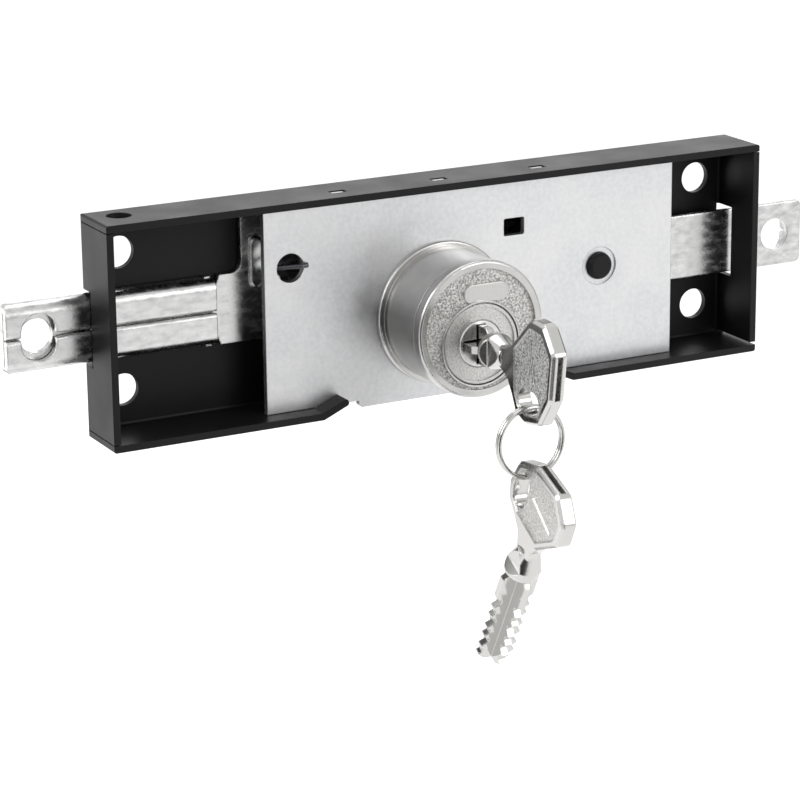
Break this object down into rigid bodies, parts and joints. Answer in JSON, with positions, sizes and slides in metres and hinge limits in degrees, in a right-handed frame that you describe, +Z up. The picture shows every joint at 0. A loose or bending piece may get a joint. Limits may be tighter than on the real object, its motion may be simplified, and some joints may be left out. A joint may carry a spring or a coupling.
{
  "type": "roller shutter lock",
  "caption": "Long folded steel lock case with sliding flat bolts at both ends, a round key cylinder with its key, and a spare key on a split ring.",
  "frame": {"origin": "middle of the pattern of mounting holes, on the outer face of the case's back", "axes": "+X along the case to the right as seen from the front, +Z up, +Y out of the back into the shutter; the cylinder and key point along -Y"},
  "size_m": [0.1914, 0.0655, 0.0996],
  "materials": {
    "black_case": "satin",
    "zinc_cover": "satin",
    "zinc_steel": "gloss",
    "nickel_body": "satin",
    "nickel_brass": "gloss",
    "nickel_wire": "gloss",
    "brass_inner": "satin",
    "dark_wire": "satin"
  },
  "bodies": {
    "housing": {"case": "black_case", "case_pillar": "black_case", "pillar_spacer": "zinc_steel", "cover_plate": "zinc_cover", "cylinder_body": "nickel_body", "barrel": "nickel_body", "chamber_strip": "brass_inner", "driver_pins": "brass_inner", "pin_springs": "zinc_steel", "thrust_washer": "zinc_steel", "cylinder_screws": "zinc_steel", "detent_spring": "dark_wire", "spring_post": "zinc_steel"},
    "plug": {"plug": "nickel_brass", "pinion": "zinc_steel", "key_pins": "brass_inner", "plug_clip": "zinc_steel"},
    "left_bolt": {"left_bolt": "zinc_steel"},
    "right_bolt": {"right_bolt": "zinc_steel"},
    "key": {"key": "nickel_brass"},
    "key_ring": {"key_ring": "nickel_wire"},
    "spare_key": {"spare_key": "nickel_brass"}
  },
  "joints": [
    {"name": "plug_turn", "type": "hinge", "parent": "housing", "child": "plug", "pos_m": [0, -0.02, -0.0081], "axis": [0, -1, 0], "range_deg": [0, 180]},
    {"name": "left_bolt_slide", "type": "slide", "parent": "housing", "child": "left_bolt", "axis": [-1, 0, 0], "range_m": [0, 0.01571]},
    {"name": "right_bolt_slide", "type": "slide", "parent": "housing", "child": "right_bolt", "axis": [1, 0, 0], "range_m": [0, 0.01571]},
    {"name": "key_pull", "type": "slide", "parent": "plug", "child": "key", "axis": [0, -1, 0], "range_m": [0, 0.026]},
    {"name": "ring_swing", "type": "hinge", "parent": "key", "child": "key_ring", "pos_m": [0, -0.04815, -0.0149], "axis": [1, 0, 0], "range_deg": [-65, 10]},
    {"name": "spare_swing", "type": "hinge", "parent": "key_ring", "child": "spare_key", "pos_m": [0, -0.04815, -0.03294], "axis": [0.9986, -0.0461, -0.0248], "range_deg": [-25, 20]}
  ],
  "couplings": [
    {"joint": "left_bolt_slide", "follows": "plug_turn", "m_per_rad": 0.005},
    {"joint": "right_bolt_slide", "follows": "plug_turn", "m_per_rad": 0.005}
  ]
}
